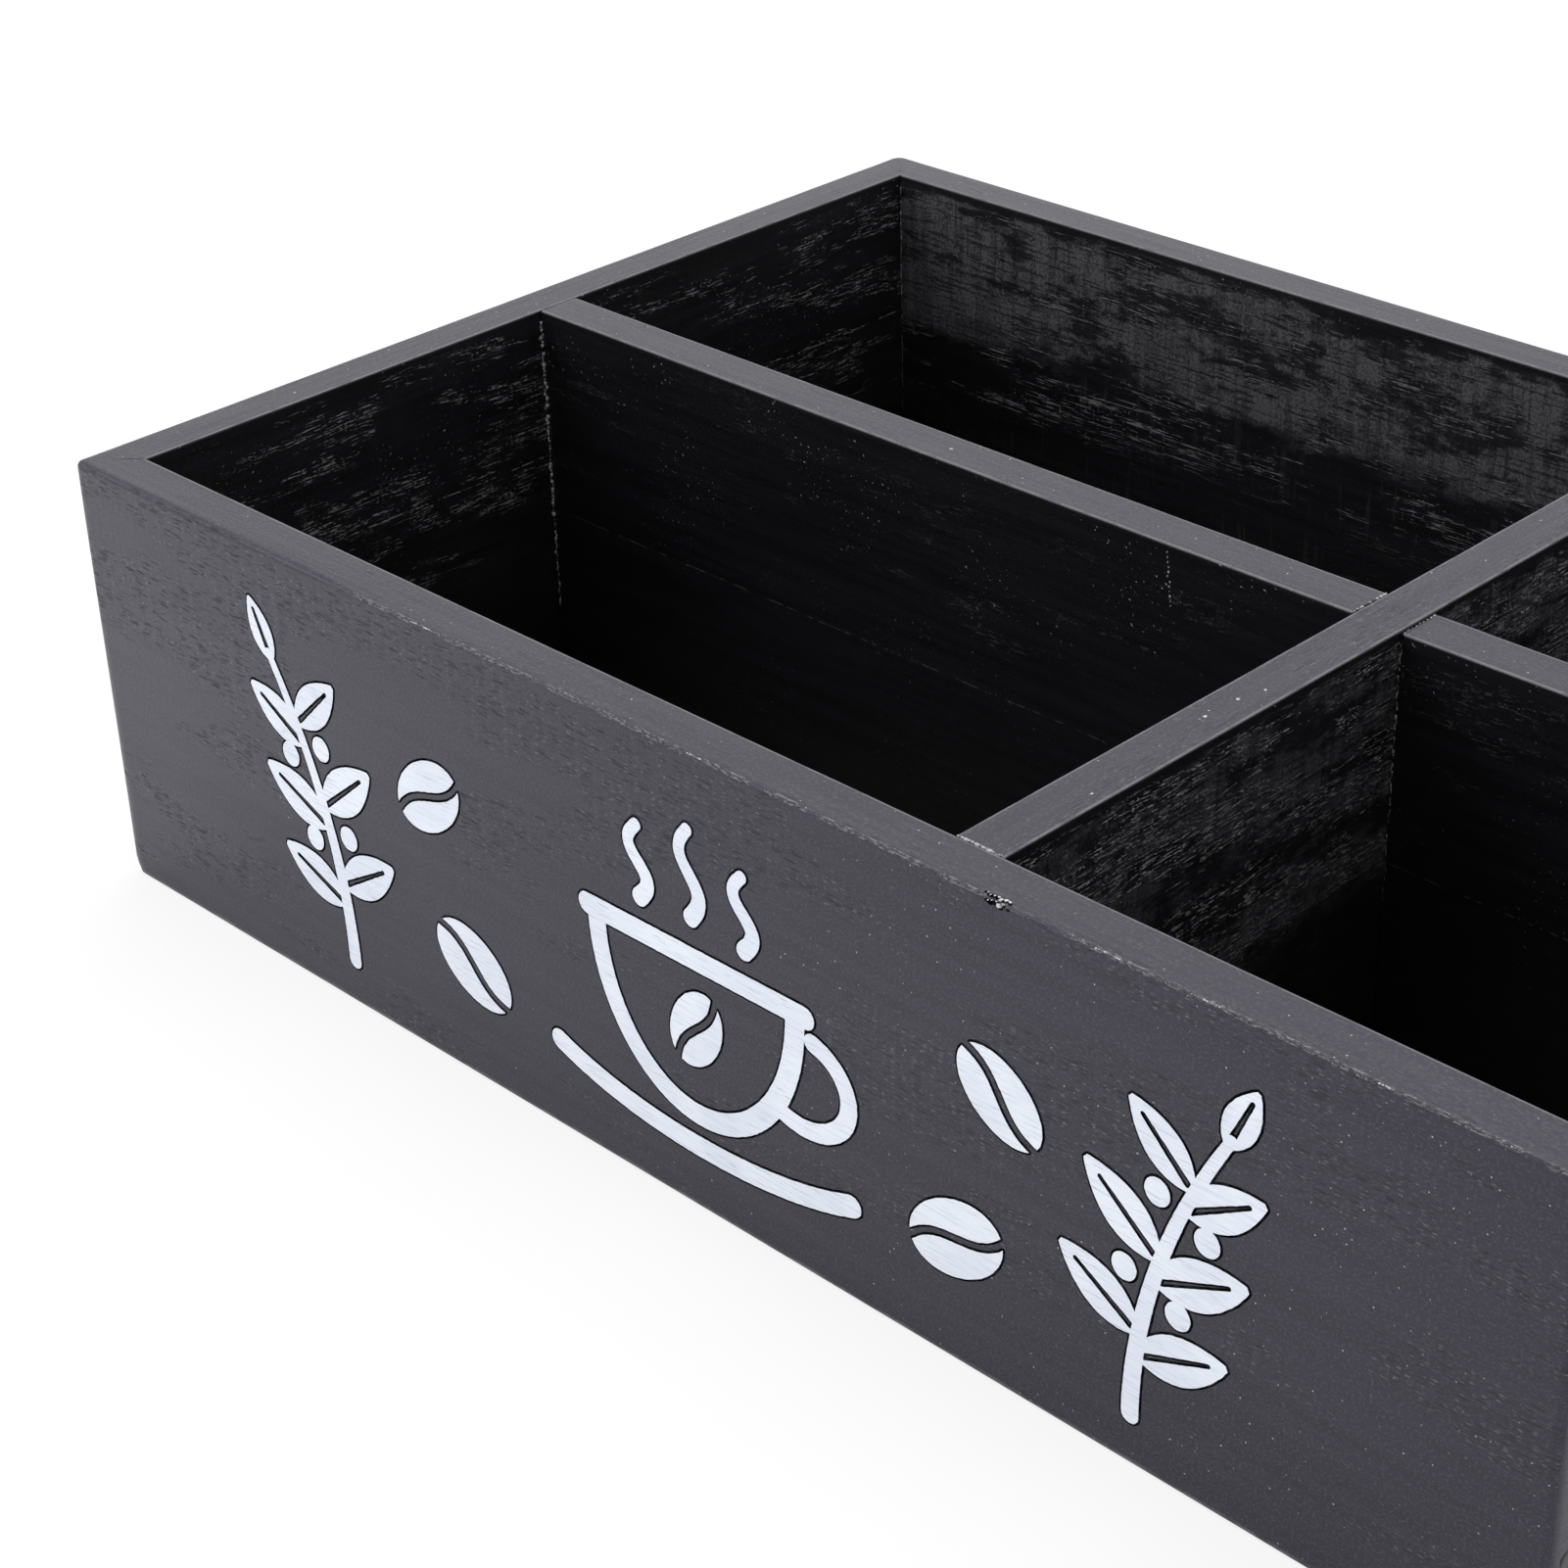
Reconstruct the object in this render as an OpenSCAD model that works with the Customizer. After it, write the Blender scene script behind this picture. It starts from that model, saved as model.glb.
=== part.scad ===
// Open-top organizer of stained wooden boards with four compartments.
// The origin is the middle of the face it rests on: +X runs right along the front,
// +Y runs to the back and +Z is up. All sizes are in millimetres.

/* [Box] */
// Length of the box from left to right
box_w = 300; // [220:1:420]
// Depth of the box from front to back
box_d = 204; // [150:1:300]
// Height of the box
box_h = 81; // [64:1:120]
// Thickness of the four outer walls
wall_t = 9; // [8:0.5:14]
// Rounding of the four upright outer corners
corner_r = 1.6; // [0.5:0.1:3]
// Rounding of the outer top and bottom edges
edge_r = 1; // [0.3:0.1:2]
// Rounding of the inner top edges and of the dividers' top edges
arris_r = 0.4; // [0.2:0.1:1]

/* [Dividers] */
// Thickness of the three dividers
divider_t = 9; // [6:0.5:12]
// Distance of the long divider to the right of the box's middle
long_x = 48.5; // [-50:0.5:60]
// Distance of the cross dividers behind the box's middle
cross_y = 0; // [-30:0.5:30]
// Drop of the right divider's top below the rim
right_drop = 0.5; // [0.1:0.1:3]

/* [Base] */
// Thickness of the base board
base_t = 3; // [2:0.5:4]
// Width of the step in the walls' underside that takes the base board
rebate_w = 5; // [3:0.5:6]
// Gap between the base board's edges and the step
base_gap = 0.3; // [0.1:0.1:0.6]

/* [Brads] */
// Diameter of a brad's shank
brad_d = 1.2; // [0.9:0.1:1.6]
// Diameter of a brad's head
brad_head_d = 2; // [1.8:0.1:2.6]
// Thickness of a brad's head
brad_head_t = 0.8; // [0.5:0.1:1.2]
// Length of a brad's point
brad_point = 1.5; // [1:0.1:2.5]
// Length of the brads that join the walls and the dividers
wall_brad_l = 20; // [16:1:25]
// Length of the brads that hold the base board
base_brad_l = 14; // [10:1:16]
// Depth of the filled heads below the walls' outer faces
head_depth = 0.8; // [0.4:0.1:1.2]
// Depth of the open heads above the base board's underside
base_head_depth = 0.3; // [0.1:0.1:0.6]
// Gap between a brad's shank and the wood
brad_gap = 0.05; // [0.02:0.01:0.1]
// Distance of the corner brads from the front and back faces
corner_inset = 4; // [3.5:0.5:5]
// Height of the lowest row of brads in the walls
low_row = 22; // [20:1:26]
// Distance of the highest row of brads below the rim
high_row = 15; // [10:1:20]
// Rows of brads in each corner
corner_rows = 3; // [2:1:4]
// Rows of brads at each end of a divider
divider_rows = 2; // [2:1:3]
// Distance of the end brads in the base from the inside corners
base_end_inset = 16; // [10:1:24]
// Brads through the base into the front wall, and as many into the back wall
base_front_count = 5; // [3:1:8]
// Brads through the base into the left wall, and as many into the right wall
base_side_count = 3; // [2:1:5]
// Brads through the base into each divider
base_divider_count = 2; // [2:1:4]

/* [Colours] */
// Colour of the stained boards
stain_colour = "#3c3b40"; // [#3c3b40, #4a3a2c, #8a6a48]
// Colour of the base board
base_colour = "#2b2a2d"; // [#2b2a2d, #4a3a2c, #8a6a48]
// Colour of the brads
brad_colour = "#8f9296"; // [#8f9296, #b8a060]

/* [Hidden] */
arc_fn = 48;
brad_fn = 32;
// Reach of a cutting shape past the face that it opens
past = 1;
in_w = box_w - 2 * wall_t;
in_d = box_d - 2 * wall_t;
long_left = long_x - divider_t / 2;
long_right = long_x + divider_t / 2;
// Distance of the base brads from a wall's inner face
rebate_mid = rebate_w / 2;

// Spread of count places between two ends
function places(from, to, count) = [for (i = [0 : count - 1]) from + (to - from) * i / (count - 1)];

function brad_rows(count) = places(low_row, box_h - high_row, count);

// What a rounding of radius r takes off a square corner at the origin
module corner_waste(r) {
    difference() {
        translate([-past, -past])
            square(r + past);
        translate([r, r])
            circle(r, $fn = arc_fn);
    }
}

// Rectangle from the origin with its top and bottom corners rounded: the outer
// ones on the left, the inner top one on the right
module wall_section() {
    difference() {
        square([wall_t, box_h]);
        corner_waste(edge_r);
        translate([0, box_h])
            mirror([0, 1])
                corner_waste(edge_r);
        translate([wall_t, box_h])
            rotate(180)
                corner_waste(arris_r);
    }
}

module divider_section(height) {
    difference() {
        translate([-divider_t / 2, 0])
            square([divider_t, height]);
        for (side = [-1, 1])
            translate([side * divider_t / 2, height])
                rotate(side > 0 ? 180 : 270)
                    corner_waste(arris_r);
    }
}

// Plan of one mitred wall along X, its outer face at the front
module wall_plan(length, across) {
    difference() {
        polygon([
            [-length / 2, -across / 2],
            [length / 2, -across / 2],
            [length / 2 - wall_t, -across / 2 + wall_t],
            [-length / 2 + wall_t, -across / 2 + wall_t]
        ]);
        for (side = [-1, 1])
            translate([side * length / 2, -across / 2])
                rotate(side > 0 ? 90 : 0)
                    corner_waste(corner_r);
    }
}

// One mitred wall along X with the step for the base board
module wall(length, across) {
    difference() {
        intersection() {
            linear_extrude(box_h)
                wall_plan(length, across);
            translate([-length / 2, -across / 2, 0])
                rotate([90, 0, 90])
                    linear_extrude(length)
                        wall_section();
        }
        translate([-length / 2 + wall_t - rebate_w, -across / 2 + wall_t - rebate_w, -past])
            cube([length - 2 * (wall_t - rebate_w), rebate_w + past, base_t + past]);
    }
}

// Divider along X from one end to the other, standing on the base board
module divider(from, to, height) {
    translate([from, 0, base_t])
        rotate([90, 0, 90])
            linear_extrude(to - from)
                divider_section(height);
}

// One brad along +Z with its head's face at the origin, or with a gap its hole,
// whose mouth reaches back past the head
module brad(length, gap = 0, mouth = 0) {
    shank_r = brad_d / 2 + gap;
    head_r = brad_head_d / 2 + gap;
    rotate_extrude($fn = brad_fn)
        polygon([
            [0, -mouth],
            [head_r, -mouth],
            [head_r, brad_head_t],
            [shank_r, brad_head_t],
            [shank_r, length - brad_point],
            [0, length + gap]
        ]);
}

// Brads through the side walls' mitres into the front and back walls
module corner_brad_set(gap = 0) {
    for (side = [-1, 1], end = [-1, 1], z = brad_rows(corner_rows))
        translate([side * (box_w / 2 - head_depth), end * (box_d / 2 - corner_inset), z])
            rotate([0, -90 * side, 0])
                brad(wall_brad_l, gap);
}

// Brads through the front and back walls into the long divider
module long_brad_set(gap = 0) {
    for (end = [-1, 1], z = brad_rows(divider_rows))
        translate([long_x, end * (box_d / 2 - head_depth), z])
            rotate([90 * end, 0, 0])
                brad(wall_brad_l, gap);
}

// Brads through the side walls into the cross dividers, and through the long
// divider into the left one
module cross_brad_set(gap = 0) {
    for (z = brad_rows(divider_rows)) {
        for (side = [-1, 1])
            translate([side * (box_w / 2 - head_depth), cross_y, z])
                rotate([0, -90 * side, 0])
                    brad(wall_brad_l, gap);
        translate([long_right, cross_y, z])
            rotate([0, -90, 0])
                brad(wall_brad_l, gap);
    }
}

// Brads up through the base board into the walls and the dividers
module base_brad_set(gap = 0, mouth = 0) {
    half_w = in_w / 2;
    half_d = in_d / 2;
    translate([0, 0, base_head_depth]) {
        for (end = [-1, 1], x = places(base_end_inset - half_w, half_w - base_end_inset, base_front_count))
            translate([x, end * (half_d + rebate_mid), 0])
                brad(base_brad_l, gap, mouth);
        for (side = [-1, 1], y = places(base_end_inset - half_d, half_d - base_end_inset, base_side_count))
            translate([side * (half_w + rebate_mid), y, 0])
                brad(base_brad_l, gap, mouth);
        for (y = places(base_end_inset - half_d, half_d - base_end_inset, base_divider_count))
            translate([long_x, y, 0])
                brad(base_brad_l, gap, mouth);
        for (x = places(base_end_inset - half_w, long_left - base_end_inset, base_divider_count))
            translate([x, cross_y, 0])
                brad(base_brad_l, gap, mouth);
        for (x = places(long_right + base_end_inset, half_w - base_end_inset, base_divider_count))
            translate([x, cross_y, 0])
                brad(base_brad_l, gap, mouth);
    }
}

module front_panel() {
    color(stain_colour)
        difference() {
            wall(box_w, box_d);
            corner_brad_set(brad_gap);
            long_brad_set(brad_gap);
            base_brad_set(brad_gap);
        }
}

module back_panel() {
    color(stain_colour)
        difference() {
            rotate(180)
                wall(box_w, box_d);
            corner_brad_set(brad_gap);
            long_brad_set(brad_gap);
            base_brad_set(brad_gap);
        }
}

module left_panel() {
    color(stain_colour)
        difference() {
            rotate(-90)
                wall(box_d, box_w);
            corner_brad_set(brad_gap);
            cross_brad_set(brad_gap);
            base_brad_set(brad_gap);
        }
}

module right_panel() {
    color(stain_colour)
        difference() {
            rotate(90)
                wall(box_d, box_w);
            corner_brad_set(brad_gap);
            cross_brad_set(brad_gap);
            base_brad_set(brad_gap);
        }
}

// Thin board in the step under the walls, flush with their bottom edges
module base_panel() {
    board_w = in_w + 2 * (rebate_w - base_gap);
    board_d = in_d + 2 * (rebate_w - base_gap);
    color(base_colour)
        difference() {
            translate([-board_w / 2, -board_d / 2, 0])
                cube([board_w, board_d, base_t]);
            base_brad_set(brad_gap, base_head_depth + past);
        }
}

// Front-to-back divider between the front and back walls
module long_divider() {
    color(stain_colour)
        difference() {
            translate([long_x, 0, 0])
                rotate(90)
                    divider(-in_d / 2, in_d / 2, box_h - base_t);
            long_brad_set(brad_gap);
            cross_brad_set(brad_gap);
            base_brad_set(brad_gap);
        }
}

// Divider between the left wall and the long divider
module left_divider() {
    color(stain_colour)
        difference() {
            translate([0, cross_y, 0])
                divider(-in_w / 2, long_left, box_h - base_t);
            cross_brad_set(brad_gap);
            base_brad_set(brad_gap);
        }
}

// Divider between the long divider and the right wall
module right_divider() {
    color(stain_colour)
        difference() {
            translate([0, cross_y, 0])
                divider(long_right, in_w / 2, box_h - base_t - right_drop);
            cross_brad_set(brad_gap);
            base_brad_set(brad_gap);
        }
}

module corner_brads() {
    color(brad_colour)
        corner_brad_set();
}

module long_divider_brads() {
    color(brad_colour)
        long_brad_set();
}

module cross_divider_brads() {
    color(brad_colour)
        cross_brad_set();
}

module base_brads() {
    color(brad_colour)
        base_brad_set();
}

front_panel();
back_panel();
left_panel();
right_panel();
base_panel();
long_divider();
left_divider();
right_divider();
corner_brads();
long_divider_brads();
cross_divider_brads();
base_brads();
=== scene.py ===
import math
import bmesh
import bpy
from mathutils import Matrix, Quaternion, Vector, noise
from mathutils.geometry import delaunay_2d_cdt


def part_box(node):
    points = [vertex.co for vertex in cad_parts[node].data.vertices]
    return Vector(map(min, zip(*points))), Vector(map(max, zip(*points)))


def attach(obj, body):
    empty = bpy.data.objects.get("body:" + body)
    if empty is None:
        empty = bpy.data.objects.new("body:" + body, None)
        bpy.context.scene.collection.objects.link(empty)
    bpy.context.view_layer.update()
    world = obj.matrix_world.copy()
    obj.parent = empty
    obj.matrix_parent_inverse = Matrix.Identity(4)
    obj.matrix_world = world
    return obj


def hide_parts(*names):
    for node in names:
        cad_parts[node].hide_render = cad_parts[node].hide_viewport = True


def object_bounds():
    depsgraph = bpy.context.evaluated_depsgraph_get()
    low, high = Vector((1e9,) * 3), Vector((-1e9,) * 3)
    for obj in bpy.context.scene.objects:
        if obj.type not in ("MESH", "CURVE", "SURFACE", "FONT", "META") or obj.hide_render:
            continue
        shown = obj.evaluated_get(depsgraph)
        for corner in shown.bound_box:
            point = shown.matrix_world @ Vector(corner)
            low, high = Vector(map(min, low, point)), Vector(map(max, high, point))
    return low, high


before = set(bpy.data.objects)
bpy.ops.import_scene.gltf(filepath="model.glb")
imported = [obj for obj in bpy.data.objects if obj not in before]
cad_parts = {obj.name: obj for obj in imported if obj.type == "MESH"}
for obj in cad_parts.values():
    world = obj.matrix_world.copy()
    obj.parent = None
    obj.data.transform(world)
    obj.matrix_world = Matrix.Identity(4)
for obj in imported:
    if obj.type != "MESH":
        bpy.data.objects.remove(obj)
cad_low, cad_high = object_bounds()

# Lengths in this script are in metres, so MM turns millimetres into them
MM = 0.001

# Sizes read from the frame
WIDTH = cad_high.x - cad_low.x
DEPTH = cad_high.y - cad_low.y
HEIGHT = cad_high.z - cad_low.z
BASE_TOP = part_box("base_panel")[1].z
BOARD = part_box("front_panel")[1].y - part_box("front_panel")[0].y
STEP_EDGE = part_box("base_panel")[0].y - cad_low.y

# The boards stop this far inside the solids' faces, which leaves room for paint
SKIN = 0.2 * MM
RIM_SINK = 0.12 * MM
RIM_TOP = HEIGHT - RIM_SINK
FRONT_FACE = -DEPTH / 2 + SKIN

# Rounding of the boards' edges: sanded soft or left crisp at the top outside
SOFT_EDGE = 1.1 * MM
CRISP_EDGE = 0.45 * MM
INNER_EDGE = 0.35 * MM
FOOT_EDGE = 0.9 * MM
END_EDGE = 0.3 * MM

# Each corner's plan radius at the top and at the foot, and its top edge's rounding
CORNERS = {
    "front_left": (1.3 * MM, 2.6 * MM, SOFT_EDGE),
    "back_left": (2.6 * MM, 3.0 * MM, 1.0 * MM),
    "back_right": (1.6 * MM, 2.0 * MM, 0.8 * MM),
    "front_right": (1.2 * MM, 1.6 * MM, CRISP_EDGE),
}

# How far the lowest corners are knocked in, and what of the box that reaches
KNOCK_DEPTH = 0.7 * MM
KNOCK_REACH = 3.4 * MM

# Half the hairline left open in a mitre
MITRE_GAP = 0.01 * MM

# Faces of a board, in the order of its materials
OUTER, RIM, INNER, FOOT = range(4)


# Small helpers for numbers

def smooth(low, high, value):
    """0 below low, 1 above high and an even curve between them."""
    share = min(1, max(0, (value - low) / (high - low)))
    return share * share * (3 - 2 * share)


def between(start, stop, share):
    return start + (stop - start) * share


def wave_noise(*place):
    """Even noise of about -1 to 1 at a place given by up to three numbers."""
    return noise.noise(Vector((list(place) + [0, 0])[:3]))


def graded(low, high, fine, coarse, growth=1.7):
    """Places from low to high that lie close together near both ends."""
    near = []
    reach, step = 0, fine
    while step < coarse and reach + step < (high - low) / 2 - coarse:
        reach += step
        near.append(reach)
        step *= growth
    middle = high - low - 2 * reach
    count = max(1, math.ceil(middle / coarse))
    places = [low] + [low + r for r in near]
    places += [low + reach + middle * i / count for i in range(1, count)]
    places += [high - r for r in reversed(near)] + [high]
    return places


# Boards: a cross-section swept along the grain. A point of a section is its place across
# and up, how far an edge radius of 1 moves it there, and the face that follows it

def flat(places, face):
    return [(y, z, 0, 0, face) for y, z in places]


def arc(turn, faces, steps=4):
    """Cosine and sine at even steps of a turn in degrees, each with the face that follows it."""
    points = []
    for i in range(steps + 1):
        angle = math.radians(turn[0] + (turn[1] - turn[0]) * i / steps)
        face = faces[0] if i < (steps + 1) // 2 else faces[1]
        points.append((math.cos(angle), math.sin(angle), face))
    return points


def rounded(corner, turn, faces):
    """A wall's outer top edge, rounded by the edge radius that it has at each place."""
    return [(*corner, cos + 1, sin - 1, face) for cos, sin, face in arc(turn, faces, 5)]


def fixed_arc(centre, radius, turn, faces):
    """An edge rounded by a radius of its own."""
    return [
        (centre[0] + radius * cos, centre[1] + radius * sin, 0, 0, face)
        for cos, sin, face in arc(turn, faces)
    ]


def wall_section():
    """An outer wall, from its outer foot over the rim to the step for the base."""
    front, back, top = SKIN, BOARD - SKIN / 2, RIM_TOP
    points = fixed_arc((front + FOOT_EDGE, FOOT_EDGE), FOOT_EDGE, (270, 180), (FOOT, OUTER))
    heights = graded(FOOT_EDGE, top - SOFT_EDGE, 0.4 * MM, 4 * MM)
    points += flat([(front, z) for z in heights[1:]], OUTER)
    points += rounded((front, top), (180, 90), (OUTER, RIM))
    across = graded(front + SOFT_EDGE, back - INNER_EDGE, 0.4 * MM, 1.2 * MM)
    points += flat([(y, top) for y in across[:-1]], RIM)
    points += fixed_arc((back - INNER_EDGE, top - INNER_EDGE), INNER_EDGE, (90, 0), (RIM, INNER))
    heights = graded(BASE_TOP, top - INNER_EDGE, 0.4 * MM, 4 * MM)
    points += flat([(back, z) for z in reversed(heights[1:-1])], INNER)
    points += flat([(back, BASE_TOP), (STEP_EDGE, BASE_TOP), (STEP_EDGE, 0)], FOOT)
    return points


def divider_section(half, foot, top):
    """A divider, centred on its thickness and rounded at the top."""
    heights = graded(foot, top - INNER_EDGE, 0.4 * MM, 4 * MM)
    points = flat([(-half, z) for z in heights[:-1]], INNER)
    points += fixed_arc((INNER_EDGE - half, top - INNER_EDGE), INNER_EDGE, (180, 90), (INNER, RIM))
    across = graded(INNER_EDGE - half, half - INNER_EDGE, 0.4 * MM, 1.2 * MM)
    points += flat([(y, top) for y in across[1:-1]], RIM)
    points += fixed_arc((half - INNER_EDGE, top - INNER_EDGE), INNER_EDGE, (90, 0), (RIM, INNER))
    points += flat([(half, z) for z in reversed(heights[1:-1])], INNER)
    points += flat([(half, foot)], FOOT)
    return points


# Edges shorter than this, where wear squeezes the mesh flat, are closed up
SLIVER = 0.0005 * MM


def sweep(section, places, point_at, texture_at):
    """A closed mesh: the section at each place along the board, with both ends filled.
    point_at gives a vertex's place, and texture_at what the stain's texture knows about it."""
    mesh = bmesh.new()
    grain = mesh.verts.layers.float_vector.new("grain")
    outer_edge = mesh.verts.layers.float.new("outer_edge")
    inner_edge = mesh.verts.layers.float.new("inner_edge")
    edge_wear = mesh.verts.layers.float.new("edge_wear")
    rings = []
    for place in places:
        ring = []
        for y, z, pull_y, pull_z, _ in section:
            vertex = mesh.verts.new(point_at(place, y, z, pull_y, pull_z))
            values = texture_at(place, y, z, pull_y, pull_z)
            vertex[grain], vertex[outer_edge], vertex[inner_edge], vertex[edge_wear] = values
            ring.append(vertex)
        rings.append(ring)
    count = len(section)
    for near, far in zip(rings, rings[1:]):
        for i in range(count):
            after = (i + 1) % count
            face = mesh.faces.new((near[i], near[after], far[after], far[i]))
            face.material_index = section[i][4]
    for ring in (list(reversed(rings[0])), rings[-1]):
        mesh.faces.new(ring).material_index = FOOT
    bmesh.ops.dissolve_degenerate(mesh, dist=SLIVER, edges=mesh.edges)
    return mesh


def mesh_object(name, mesh, materials, smooth_shade=False):
    """An object in the scene, made of a bmesh that it uses up."""
    data = bpy.data.meshes.new(name)
    mesh.to_mesh(data)
    mesh.free()
    for face in data.polygons:
        face.use_smooth = smooth_shade
    for material in materials:
        data.materials.append(material)
    thing = bpy.data.objects.new(name, data)
    bpy.context.scene.collection.objects.link(thing)
    return thing


def make_piece(name, mesh, materials, transform=None, smooth_shade=True):
    """Turns a bmesh into a piece that rides on the one body."""
    bmesh.ops.recalc_face_normals(mesh, faces=mesh.faces)
    if transform is not None:
        mesh.transform(transform)
    piece = mesh_object(name, mesh, materials, smooth_shade)
    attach(piece, "root")
    return piece


def round_corner(x, y, radius):
    """Bends lines that run along one outer face round the corner at the origin, up to its mitre."""
    if x >= radius or y >= radius:
        return x, y
    share = (x - y) / (radius - y)
    angle = math.radians(225 + 45 * share)
    reach = radius - y
    return radius + reach * math.cos(angle), radius + reach * math.sin(angle)


# Wear of the outer top edge

NICK_REACH = 1.6 * MM
WAVE_DEPTH = 0.05 * MM
NICK_DEPTH = 0.16 * MM
END_FADE = 8 * MM


def edge_loss(along, seed):
    """How much an edge has lost at a place along it: a slow wave and a few sharp nicks."""
    slow = 0.5 + 0.5 * wave_noise(along / (9 * MM), seed)
    fine = max(0, wave_noise(along / (1.9 * MM), seed + 7) - 0.3)
    return WAVE_DEPTH * slow + NICK_DEPTH * fine


def worn_wall(x, y, z, length, seed, dents):
    """A wall's point moved in where the outer top edge and the rim are worn."""
    to_edge = math.hypot(y - SKIN, RIM_TOP - z)
    share = (1 - smooth(0, NICK_REACH, to_edge)) ** 2
    fade = smooth(0, END_FADE, min(x, length - x))
    loss = fade * share * edge_loss(x, seed)
    for centre, reach, depth in dents:
        loss += depth * (1 - smooth(0, reach, math.hypot(x - centre, to_edge)))
    rim = smooth(HEIGHT - 2 * MM, HEIGHT - 0.6 * MM, z)
    sink = fade * rim * 0.03 * MM * (1 + wave_noise(x / (14 * MM), y / (5 * MM), seed))
    return x, y + 0.7 * loss, z - 0.7 * loss - sink


def make_wall(name, node, turn, ends, seed, materials, dents=(), crisp_span=None):
    """One mitred wall in its node's place. turn is its angle about Z from the front wall's place,
    ends are its corners' names, and crisp_span is where along it the soft top edge turns crisp."""
    length, across = (WIDTH, DEPTH) if turn in (0, 180) else (DEPTH, WIDTH)
    start_corner, end_corner = CORNERS[ends[0]], CORNERS[ends[1]]
    span = crisp_span or (0, length)

    def along(share, y):
        start = y + MITRE_GAP
        return between(start, length - start, share)

    def edge_radius(x):
        return between(start_corner[2], end_corner[2], smooth(*span, x))

    def point_at(share, y, z, pull_y, pull_z):
        radius = edge_radius(share * length)
        y, z = y + radius * pull_y, z + radius * pull_z
        x, y, z = worn_wall(along(share, y), y, z, length, seed, dents)
        at_start = x < length / 2
        corner = start_corner if at_start else end_corner
        plan_radius = between(corner[1], corner[0], smooth(0, HEIGHT, z))
        near_x, near_y = round_corner((x if at_start else length - x) - SKIN, y - SKIN, plan_radius)
        knock = 1 - smooth(0, KNOCK_REACH, math.hypot(near_x, near_y, z))
        near_x, near_y, z = (place + KNOCK_DEPTH * knock for place in (near_x, near_y, z))
        near_x += SKIN
        return near_x if at_start else length - near_x, near_y + SKIN, z

    def texture_at(share, y, z, pull_y, pull_z):
        radius = edge_radius(share * length)
        y, z = y + radius * pull_y, z + radius * pull_z
        below = RIM_TOP - z
        wear = (SOFT_EDGE - radius) / (SOFT_EDGE - CRISP_EDGE)
        grain = Vector((along(share, y) + seed, y + z, z))
        return grain, y - SKIN + below, BOARD - SKIN / 2 - y + below, wear

    places = [p / length for p in graded(0, length, 0.3 * MM, 1.2 * MM)]
    mesh = sweep(wall_section(), places, point_at, texture_at)
    middle = Matrix.Translation((-length / 2, -across / 2, 0))
    to_world = Matrix.Rotation(math.radians(turn), 4, "Z") @ middle
    wall = make_piece(name, mesh, materials, to_world)
    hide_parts(node)


def make_divider(name, node, along_y, seed, materials):
    """One divider in its node's box, with its ends eased so that the butt joints show."""
    low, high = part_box(node)
    length = high.y - low.y if along_y else high.x - low.x
    thickness = high.x - low.x if along_y else high.y - low.y
    half = (thickness - SKIN) / 2
    top = high.z - RIM_SINK

    def point_at(x, y, z, *_):
        to_end = min(x, length - x)
        ease = 0
        if to_end < END_EDGE:
            ease = END_EDGE - math.sqrt(END_EDGE ** 2 - (END_EDGE - to_end) ** 2)
        y -= math.copysign(ease, y) * smooth(0, half, abs(y))
        z -= ease * smooth(top - 1 * MM, top, z)
        rim = smooth(top - 2 * MM, top - 0.3 * MM, z)
        z -= rim * 0.04 * MM * (1 + wave_noise(x / (11 * MM), y / (4 * MM), seed))
        return x, y, z

    def texture_at(x, y, z, *_):
        edge = half - abs(y) + top - z
        return Vector((x + seed, y + half + z, z)), BOARD, edge, 0

    section = divider_section(half, low.z, top)
    mesh = sweep(section, graded(0, length, 0.06 * MM, 1.5 * MM), point_at, texture_at)
    middle = (low + high) / 2
    turn = Matrix.Rotation(math.radians(90 if along_y else 0), 4, "Z")
    to_world = Matrix.Translation((middle.x, middle.y, 0)) @ turn @ Matrix.Translation((-length / 2, 0, 0))
    divider = make_piece(name, mesh, materials, to_world)
    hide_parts(node)


# Materials. A pattern's stretch is in repeats per metre along the grain and across it, and its
# bands are the shares of the noise between which it fades in

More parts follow.
